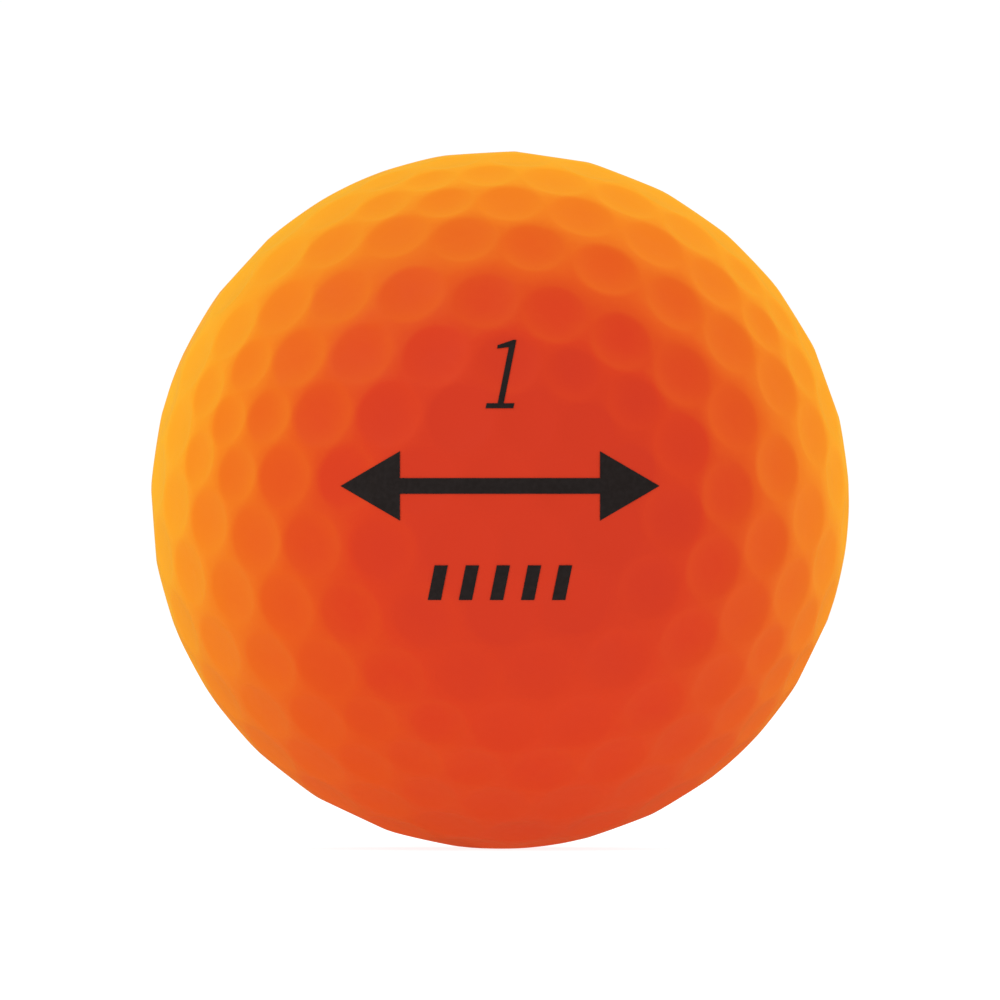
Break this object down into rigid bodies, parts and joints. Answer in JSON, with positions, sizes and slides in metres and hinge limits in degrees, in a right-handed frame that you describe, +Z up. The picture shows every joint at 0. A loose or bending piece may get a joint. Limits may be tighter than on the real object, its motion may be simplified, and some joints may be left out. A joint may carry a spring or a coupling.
{
  "type": "golf ball",
  "caption": "Solid golf ball: layered rubber core in a dimpled matte ionomer cover, with printed play number, alignment line and ticks.",
  "frame": {"origin": "centre of the ball", "axes": "+Z up as the play number reads, the front print faces -Y and the rear print faces +Y; the cover's dimple pole leans 42.8 degrees from +Z"},
  "size_m": [0.0426, 0.0427, 0.0426],
  "materials": {
    "inner_core_rubber": "matte moulded polybutadiene rubber",
    "outer_core_rubber": "matte moulded polybutadiene rubber, firmer grade",
    "cover_ionomer": "tinted translucent ionomer under a matte clear coat",
    "print_ink": "pad-printed near-black ink under the matte coat"
  },
  "bodies": {
    "root": {"inner_core": "inner_core_rubber", "outer_core": "outer_core_rubber", "cover": "cover_ionomer", "play_number_front": "print_ink", "alignment_line_front": "print_ink", "tick_row_front": "print_ink", "play_number_rear": "print_ink", "alignment_line_rear": "print_ink", "tick_row_rear": "print_ink"}
  },
  "joints": []
}
